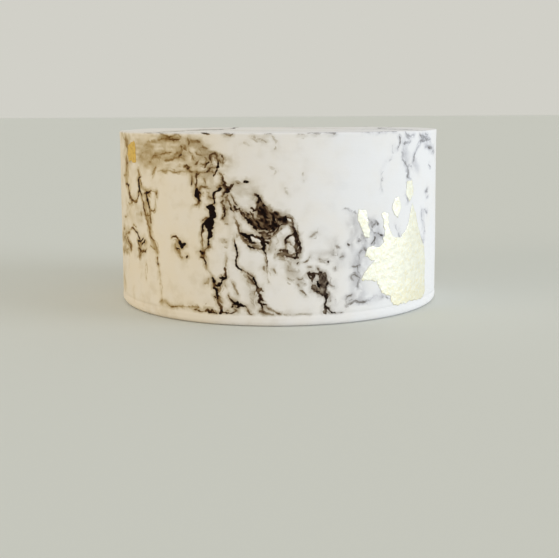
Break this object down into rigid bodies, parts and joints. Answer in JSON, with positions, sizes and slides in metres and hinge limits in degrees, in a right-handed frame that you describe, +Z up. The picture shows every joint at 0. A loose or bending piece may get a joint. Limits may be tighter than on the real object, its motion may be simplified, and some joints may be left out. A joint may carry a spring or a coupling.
{
  "type": "marble cake",
  "caption": "Round iced celebration cake with straight sides, a sharp upper rim, black-and-grey marbling and flakes of gold leaf on its side.",
  "frame": {"origin": "centre of the flat underside", "axes": "+Z up; the front, with the darkest marbling, faces -Y, and +X is to its right"},
  "size_m": [0.1998, 0.1994, 0.1065],
  "materials": {
    "icing": "smooth satin icing, off-white with black, brown and grey marbling",
    "gold_leaf": "crinkled bright gold leaf"
  },
  "bodies": {
    "root": {"iced_cake": "icing", "gold_leaf_patch": "gold_leaf", "gold_leaf_slender": "gold_leaf", "gold_leaf_diamond": "gold_leaf", "gold_leaf_upper": "gold_leaf", "gold_leaf_left": "gold_leaf"}
  },
  "joints": []
}
